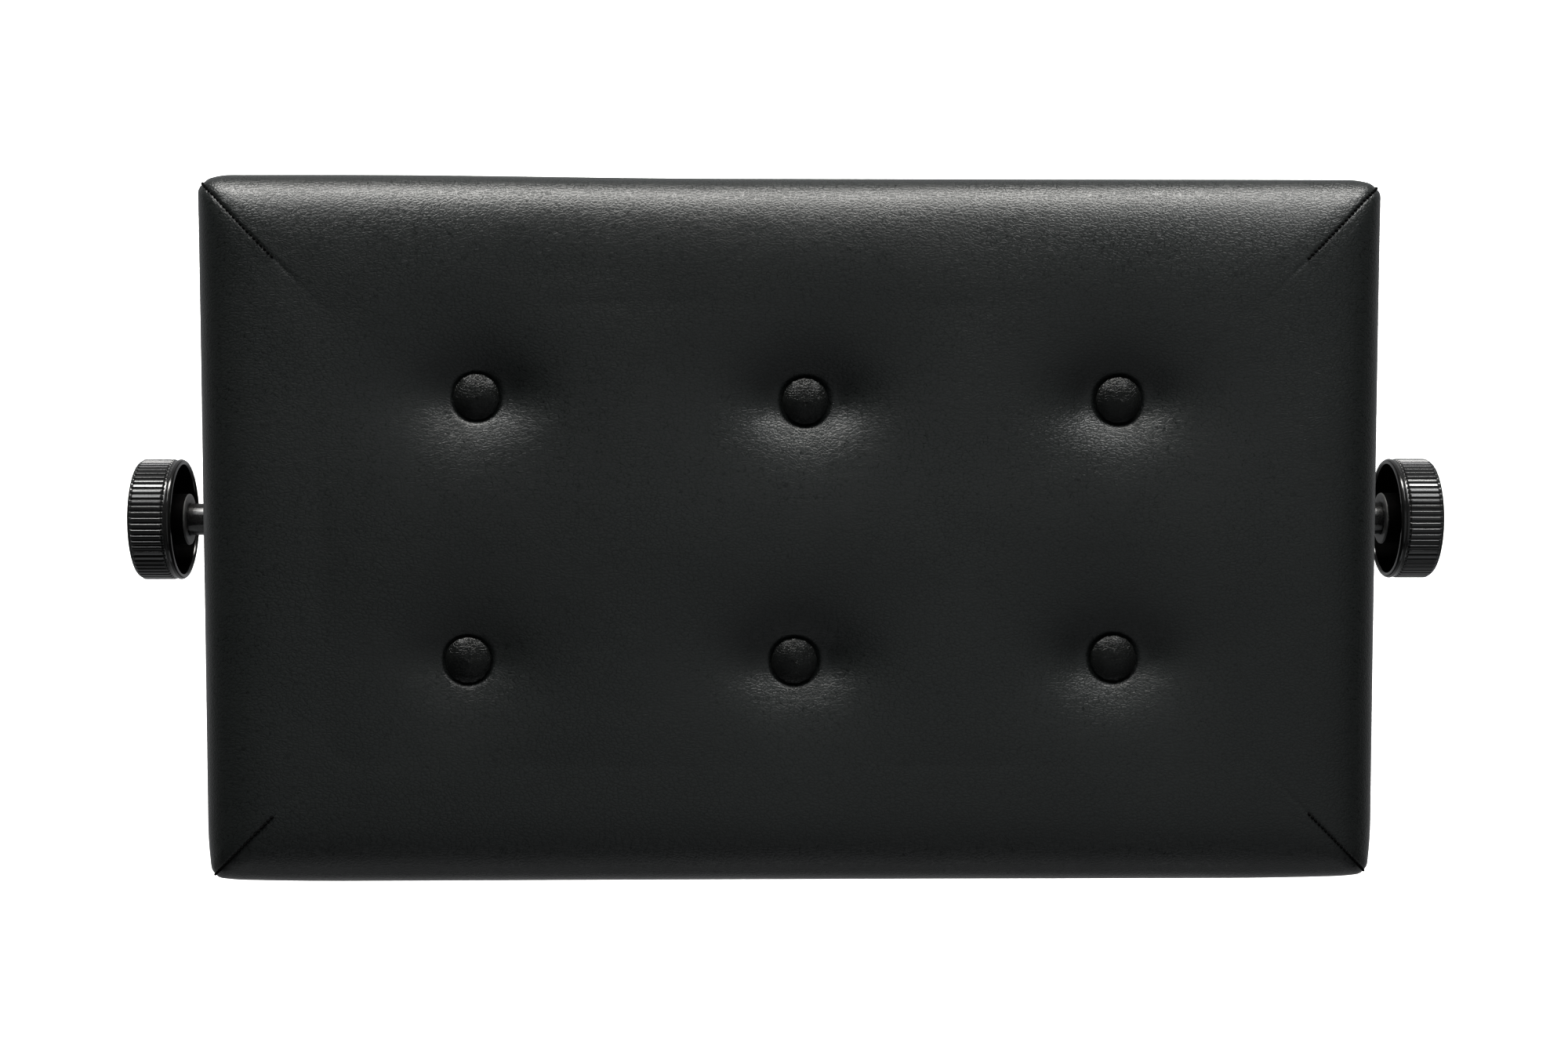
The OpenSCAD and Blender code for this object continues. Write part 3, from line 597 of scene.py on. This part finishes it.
def inflate(obj, frames, cap):
    """Cloth simulation of the foam pressing the cover out between the buttons and the board."""
    start = points_of(obj)
    held = obj.vertex_groups.new(name="held")
    gap = np.full(len(start), 1.0)
    for name in BUTTONS:
        bx, by, _, radius = button_centre(name)
        gap = np.minimum(gap, np.hypot(start[:, 0] - bx, start[:, 1] - by) - radius)
    firm = (gap < 1.5 * MM) | (start[:, 2] < BOARD_TOP)
    held.add([int(i) for i in np.nonzero(firm)[0]], 1.0, "REPLACE")
    held.add([int(i) for i in np.nonzero(~firm)[0]], LOOSE_HOLD, "REPLACE")
    pressed = obj.modifiers.new("Cloth", "CLOTH")
    setup = pressed.settings
    setup.quality = 6
    setup.mass = 0.35
    setup.tension_stiffness = setup.compression_stiffness = 40
    setup.shear_stiffness = 12
    setup.bending_stiffness = 3
    setup.vertex_group_mass = "held"
    setup.use_pressure = True
    setup.uniform_pressure_force = 4
    setup.effector_weights.gravity = 0
    pressed.collision_settings.use_self_collision = False
    scene = bpy.context.scene
    pressed.point_cache.frame_start = 1
    pressed.point_cache.frame_end = frames
    for step in range(1, frames + 1):
        scene.frame_set(step)
    apply_modifiers(obj)
    scene.frame_set(1)
    move = points_of(obj) - start
    size = np.linalg.norm(move, axis=1, keepdims=True)
    set_points(obj, start + move * np.minimum(1, cap / np.maximum(size, 1e-9)))


def make_cushion():
    """The leather cover: shaped, pressed out by the simulation, smoothed, and sewn at its corners."""
    points, faces = cushion_grid(COVER_STEP)
    gather_rows(points)
    x, y = points[:, 0], points[:, 1]
    above = smoothstep(WIDEST, CROWN, points[:, 2])
    points[:, 2] += (crown_rise(x, y) - dimple_drop(x, y)) * above
    cushion = mesh_object("seat_cushion", points, faces, MATERIALS["seat_leather"])
    inflate(cushion, PRESS_FRAMES, PRESS_CAP)
    subdivided(cushion, 1)
    seams = seam_rows(points_of(cushion))
    sewn = sew_corners(points_of(cushion), normals_of(cushion))
    draw_in_corners(sewn)
    set_points(cushion, sewn)
    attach(cushion, "seat")
    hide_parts("seat_cover")
    return cushion, seams


def make_foam():
    """The foam block under the cover, from the board up, just inside the leather."""
    points, faces = cushion_grid(FOAM_STEP)
    x, y = points[:, 0], points[:, 1]
    above = smoothstep(WIDEST, CROWN, points[:, 2])
    points[:, 2] += (crown_rise(x, y) - 1.12 * dimple_drop(x, y)) * above
    shell = mesh_object("foam_block", points, faces, MATERIALS["foam"])
    points = points_of(shell) - normals_of(shell) * FOAM_GAP
    points[:, 2] = np.maximum(points[:, 2], BOARD_TOP + 0.1 * MM)
    resting = points[:, 2] <= BOARD_TOP + 0.11 * MM
    points[resting, :2] *= 0.995
    draw_in_corners(points)
    set_points(shell, points)
    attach(shell, "seat")
    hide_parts("seat_foam")


def seam_rows(points):
    """For each corner, the cover's points on its seam, from its inner end to its foot."""
    across, along, _, near_corner = seam_place(points)
    lines = []
    for sx, sy in ((-1, 1), (1, 1), (-1, -1), (1, -1)):
        chosen = np.nonzero(
            (np.abs(across) < 0.08 * MM) & (along > -0.5 * MM) & (points[:, 2] > BOTTOM + 3 * MM)
            & near_corner & (points[:, 0] * sx > 0) & (points[:, 1] * sy > 0)
        )[0]
        lines.append(chosen[np.argsort(along[chosen])])
    return lines


def sew_stitches(cushion, seams):
    """Twisted black stitches lying in the corner seams."""
    points, all_normals = points_of(cushion), normals_of(cushion)
    pitch, radius, length = 2.3 * MM, 0.55 * MM, 2.0 * MM
    ring = np.arange(8) * TAU / 8
    stations = np.linspace(-1, 1, 7)
    parts = []
    for rows in seams:
        line, normals = points[rows], all_normals[rows]
        steps = np.concatenate([[0], np.cumsum(np.linalg.norm(np.diff(line, axis=0), axis=1))])
        for place in np.arange(pitch * 0.5, steps[-1], pitch):
            here = np.array([np.interp(place, steps, line[:, i]) for i in range(3)])
            ahead = np.array([np.interp(place + MM, steps, line[:, i]) for i in range(3)])
            back = np.array([np.interp(place - MM, steps, line[:, i]) for i in range(3)])
            up = Vector([np.interp(place, steps, normals[:, i]) for i in range(3)]).normalized()
            along = Vector(ahead - back).normalized()
            across = along.cross(up).normalized()
            heading = (along + 0.30 * across).normalized()
            out = heading.cross(up).normalized()
            rings = []
            for t in stations:
                middle = Vector(here) + heading * (t * length / 2) + up * (0.42 * MM - 0.50 * MM * t * t)
                size = radius * math.sqrt(max(1 - (t * 0.93) ** 4, 0.02))
                rings.append([middle + (out * math.cos(a) + up * math.sin(a)) * size for a in ring])
            faces = [tuple(f) for f in grid_faces(len(stations), len(ring), wrap=True)]
            last = len(ring) * (len(stations) - 1)
            faces += [tuple(reversed(range(len(ring)))), tuple(range(last, last + len(ring)))]
            parts.append((np.array([p for row in rings for p in row]), faces))
    stitches = joined("seam_stitches", parts, THREAD)
    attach(stitches, "seat")


# ---- Buttons ----

def make_button(name):
    """A leather-covered button: a shallow dome over a rounded rim, with its cover gathered underneath."""
    cx, cy, low, radius = button_centre(name)
    sunk = 0.8 * MM
    low -= sunk
    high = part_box("button_" + name)[1].z - sunk
    edge = 1.1 * MM
    lean = math.radians(31)
    cap_r = (radius - edge + edge * math.sin(lean)) / math.sin(lean)
    dome = [(cap_r * math.sin(t), high - cap_r * (1 - math.cos(t))) for t in np.linspace(0.004, lean, 18)]
    rim_z = dome[-1][1] - edge * math.cos(lean)
    rim = [(radius - edge + edge * math.sin(t), rim_z + edge * math.cos(t))
           for t in np.linspace(lean, 1.75, 9)[1:]]
    foot = [(radius - 0.25 * MM, low + 0.5 * MM), (radius - 1.2 * MM, low)]
    section = dome + rim + foot
    segments = 96
    points, quads = revolved(section, segments, (cx, cy, 0))
    seed = 1.0 + 0.7 * BUTTONS.index(name)
    angle = np.arctan2(points[:, 1] - cy, points[:, 0] - cx)
    outer = smoothstep(0.80, 1.0, np.hypot(points[:, 0] - cx, points[:, 1] - cy) / radius)
    gather = np.sin(angle * 13 + seed) + 0.6 * np.sin(angle * 21 + 2 * seed)
    scale = 1 - 0.008 * outer * (0.6 + gather)
    points[:, 0] = cx + (points[:, 0] - cx) * scale
    points[:, 1] = cy + (points[:, 1] - cy) * scale
    points[:, 2] += 0.12 * MM * np.sin(angle * 2 + seed) * (1 - outer)
    faces = [tuple(f)[::-1] for f in quads] + [tuple(range(segments))]
    last = (len(section) - 1) * segments
    faces.append(tuple(reversed(range(last, last + segments))))
    button = mesh_object("button_top_" + name, points, faces, MATERIALS["button_leather"])
    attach(button, "seat")
    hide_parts("button_" + name)


# ---- Knobs ----

RIBS = 64
HUB_R = 13.2 * MM
HUB_OUT = 2.8 * MM


def knob_profile(width, radius):
    """The knob's section as (radius, distance from the rim) pairs: cup, rim, ribs and face."""
    wall = radius - 2.9 * MM
    floor = width - 3 * MM
    cup = [(HUB_R, 0.8 * MM - HUB_OUT), (HUB_R, floor - 1.2 * MM), (HUB_R + 1.2 * MM, floor),
           (wall - 2 * MM, floor), (wall, floor - 2 * MM), (wall, 1.6 * MM)]
    lip = [(wall, 1.5 * MM), (wall + 0.1 * MM, 0.7 * MM), (wall + 0.5 * MM, 0.2 * MM), (wall + 1.0 * MM, 0.0)]
    bead = [(radius - 0.9 * MM + 0.9 * MM * math.sin(t * math.pi), 0.1 * MM + 3.3 * MM * t)
            for t in np.linspace(0.08, 0.96, 9)]
    shoulder = [(radius - 0.75 * MM, 3.6 * MM), (radius - 0.75 * MM, 3.9 * MM)]
    ribs = [(radius, x) for x in np.concatenate([np.linspace(4.2 * MM, 5.4 * MM, 4),
                                                 np.linspace(6 * MM, width - 2.6 * MM, 8),
                                                 np.linspace(width - 2.0 * MM, width - 1.2 * MM, 4)])]
    face = [(radius - 0.85 * MM, width - 0.9 * MM), (radius - 1.0 * MM, width - 0.55 * MM),
            (radius - 1.4 * MM, width - 0.15 * MM), (radius - 2.1 * MM, width), (radius - 4 * MM, width),
            (radius - 5 * MM, width - 0.1 * MM), (radius - 5.6 * MM, width - 0.7 * MM),
            (radius - 7 * MM, width - 0.8 * MM), (radius * 0.4, width - 0.5 * MM),
            (0.05 * MM, width - 0.4 * MM)]
    return cup, lip + bead + shoulder, ribs, face


def make_knob(side):
    """A glossy cup with flat-topped ribs round it, with painted shade inside (a darker, nearly unreflecting
    copy of its plastic), on a hub with a dull grey end.
    """
    sign = 1 if side == "right" else -1
    low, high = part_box("knob_" + side)
    rim_x = low.x + HUB_OUT if sign > 0 else high.x - HUB_OUT
    width = high.x - low.x - HUB_OUT
    radius = (high.z - low.z) / 2
    centre = (rim_x, 0, (low.z + high.z) / 2)
    cup, rim, ribs, face = knob_profile(width, radius)
    section = cup + rim + ribs + face
    per_rib = 12
    segments = RIBS * per_rib
    points, quads = revolved(section, segments, centre, "X", sign)
    points = points.reshape(len(section), segments, 3)
    phase = (np.arange(segments) % per_rib) / per_rib
    phase = np.where(phase < 0.5, phase ** 1.6 * 0.5 ** -0.6, 1 - (1 - phase) ** 1.6 * 0.5 ** -0.6)
    crest = smoothstep(0.04, 0.17, np.minimum(phase, 1 - phase))
    first = len(cup) + len(rim)
    last = first + len(ribs)
    for row in range(first, last):
        x = ribs[row - first][1]
        fade = smoothstep(4.0 * MM, 5.2 * MM, x) * (1 - smoothstep(width - 2.1 * MM, width - 1.2 * MM, x))
        base = radius - 0.85 * MM
        height = base + (0.80 * MM * crest - 0.35 * MM * (1 - crest)) * fade
        spoke = (points[row, :, 1:] - np.array(centre[1:])) / radius
        points[row, :, 1:] = np.array(centre[1:]) + spoke * height[:, None]
    knob = mesh_object("knob_cup_" + side, points.reshape(-1, 3), quads, MATERIALS["knob_plastic"])
    # The cup's inner faces get the painted-shade material.
    knob.data.materials.append(KNOB_INSIDE_PAINTED_SHADE)
    for quad in knob.data.polygons:
        if quad.index < (len(cup) - 1) * segments:
            quad.material_index = 1
    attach(knob, "spindle")
    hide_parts("knob_" + side)
    sleeve_low, sleeve_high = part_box("knob_sleeve_" + side)
    sleeve = (sleeve_high.z - sleeve_low.z) / 2
    hub_section = [(sleeve + 0.02 * MM, 1.5 * MM), (sleeve + 0.02 * MM, 0.5 * MM - HUB_OUT),
                   (sleeve + 0.4 * MM, -HUB_OUT), (HUB_R - 0.8 * MM, -HUB_OUT),
                   (HUB_R - 0.2 * MM, 0.2 * MM - HUB_OUT), (HUB_R, 0.8 * MM - HUB_OUT)]
    hub_points, hub_faces = revolved(hub_section, 96, centre, "X", sign)
    hub_piece = mesh_object("knob_hub_" + side, hub_points, hub_faces, HUB_METAL)
    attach(hub_piece, "spindle")


# ---- Spindle and dust cover ----

def make_spindle():
    """The threaded rod: plain in its bushes and knobs, with a trapezoid thread between its collars."""
    low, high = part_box("spindle")
    radius, middle = (high.z - low.z) / 2, (low.z + high.z) / 2
    pitch, depth, chamfer, segments = 2 * MM, 0.9 * MM, 0.8 * MM, 24
    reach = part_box("thrust_collars")[1].x - 14 * MM
    thread = np.arange(-reach, reach, pitch / 6)
    rows = np.concatenate([[low.x, low.x + chamfer], thread, [high.x - chamfer, high.x]])
    angle = np.arange(segments) * TAU / segments
    wave = 2 * np.abs((rows[:, None] / pitch - angle / TAU) % 1 - 0.5)
    threaded = smoothstep(0, 6 * MM, reach - np.abs(rows))[:, None]
    size = radius - depth * np.clip(2 * wave - 0.5, 0, 1) * threaded
    size[[0, -1]] -= chamfer
    along = np.broadcast_to(rows[:, None], size.shape)
    points = np.dstack([along, size * np.cos(angle), middle + size * np.sin(angle)])
    faces = [tuple(f) for f in grid_faces(len(rows), segments, wrap=True)]
    last = (len(rows) - 1) * segments
    faces += [tuple(reversed(range(segments))), tuple(range(last, last + segments))]
    rod = mesh_object("spindle_thread", points.reshape(-1, 3), faces, MATERIALS["spindle_steel"])
    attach(rod, "spindle")
    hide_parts("spindle")


def make_dust_sheet():
    """The cloth under the board: a doubled hem, puckers at the staples and a little slack in the middle."""
    low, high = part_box("dust_cover")
    x, y = np.meshgrid(np.linspace(low.x, high.x, 176), np.linspace(low.y, high.y, 104))
    edge_x = np.minimum(x - low.x, high.x - x)
    edge_y = np.minimum(y - low.y, high.y - y)
    edge = np.minimum(edge_x, edge_y)
    hem = 1 - smoothstep(11 * MM, 13 * MM, edge)
    along = np.where(edge_x < edge_y, y, x)
    pucker = np.sin(along * TAU / (22 * MM)) * np.exp(-edge / (16 * MM))
    slack = smoothstep(20 * MM, 70 * MM, edge) * np.sin(x * 38 + 2 * y) * np.sin(y * 51 - x * 9)
    level = (low.z + high.z) / 2 + 0.12 * MM * pucker + 0.18 * MM * slack - 0.10 * MM * hem
    faces = grid_faces(*x.shape)
    points = np.dstack([x, y, level]).reshape(-1, 3)
    sheet = mesh_object("dust_sheet", points, faces, MATERIALS["dust_cloth"])
    thick = sheet.modifiers.new("Thickness", "SOLIDIFY")
    thick.thickness = 0.3 * MM
    thick.offset = 0
    apply_modifiers(sheet)
    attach(sheet, "seat")
    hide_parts("dust_cover")


# ---- Stage, light and camera ----

CAMERA_AT = (-0.0197, 0.0673, 1.4952)
CAMERA_TILT = (-3.46, -0.89, 0.0)
LENS = 50.8


def make_stage():
    """A pale floor that turns up into a wall far away all round; neither shows in reflections."""
    size, bend = 12.0, 3.0
    pale = floor_material()
    floor = mesh_object("floor", [(-size, -size, 0), (size, -size, 0), (size, size, 0), (-size, size, 0)],
                        [(0, 1, 2, 3)], pale, smooth=False)
    turn = [(size - bend + bend * math.sin(a), bend * (1 - math.cos(a)))
            for a in np.linspace(0.01, math.pi / 2, 12)]
    points, quads = revolved(turn + [(size, 9.0)], 64, (0, 0, 0))
    backdrop = mesh_object("backdrop", points, quads, pale)
    backdrop.visible_shadow = False
    for piece in (floor, backdrop):
        piece.visible_glossy = piece.visible_diffuse = False


def area_light(name, at, target, size, power, colour=(1, 1, 1)):
    data = bpy.data.lights.new(name, "AREA")
    data.shape = "RECTANGLE"
    data.size, data.size_y = size
    data.energy = power
    data.color = colour
    light = bpy.data.objects.new(name, data)
    light.location = at
    light.rotation_euler = (Vector(target) - Vector(at)).to_track_quat("-Z", "Y").to_euler()
    bpy.context.scene.collection.objects.link(light)


def make_lights():
    aim = (0, 0, 0.44)
    area_light("key", (-0.08, 1.95, 1.0), aim, (2.4, 0.6), 118, (1.0, 0.985, 0.95))
    for side, power in ((-1, 18), (1, 20)):
        knob = (0.3 * side, 0, 0.4)
        area_light("tall_box", (1.0 * side, 1.8, 1.45), knob, (0.5, 1.6), power, (0.98, 0.99, 1.0))
    area_light("front", (0, -1.95, 1.0), aim, (2.6, 0.9), 5, (0.96, 0.985, 1.0))
    area_light("overhead", (0.98, -0.7, 2.6), (0.98, -0.7, 0), (3.4, 2.8), 9, (0.95, 0.985, 1.0))
    world = bpy.data.worlds.new("studio")
    world.use_nodes = True
    tree = world.node_tree
    coords = tree.nodes.new("ShaderNodeTexCoord")
    split = tree.nodes.new("ShaderNodeSeparateXYZ")
    tree.links.new(coords.outputs["Generated"], split.inputs[0])
    total = tree.nodes.new("ShaderNodeMath")
    for socket, span in enumerate(((-0.15, 0.2, 0.2, 0.035), (-0.6, -0.2, 0.22, 0.0))):
        level = tree.nodes.new("ShaderNodeMapRange")
        for name, value in zip(("From Min", "From Max", "To Min", "To Max"), span):
            level.inputs[name].default_value = value
        tree.links.new(split.outputs["Z"], level.inputs["Value"])
        tree.links.new(level.outputs["Result"], total.inputs[socket])
    tree.links.new(total.outputs["Value"], tree.nodes["Background"].inputs["Strength"])
    tree.nodes["Background"].inputs["Color"].default_value = (0.97, 0.985, 1.0, 1)
    bpy.context.scene.world = world
    bpy.context.scene.view_settings.view_transform = "Standard"


def make_camera():
    data = bpy.data.cameras.new("camera")
    data.lens = LENS
    data.sensor_width = 36
    camera = bpy.data.objects.new("camera", data)
    camera.location = CAMERA_AT
    camera.rotation_euler = [math.radians(a) for a in CAMERA_TILT]
    bpy.context.scene.collection.objects.link(camera)
    bpy.context.scene.camera = camera


dress_cad_nodes()
seat_cushion, corner_seams = make_cushion()
make_foam()
sew_stitches(seat_cushion, corner_seams)
for button_name in BUTTONS:
    make_button(button_name)
for knob_side in ("left", "right"):
    make_knob(knob_side)
make_spindle()
make_dust_sheet()
make_stage()
make_lights()
make_camera()
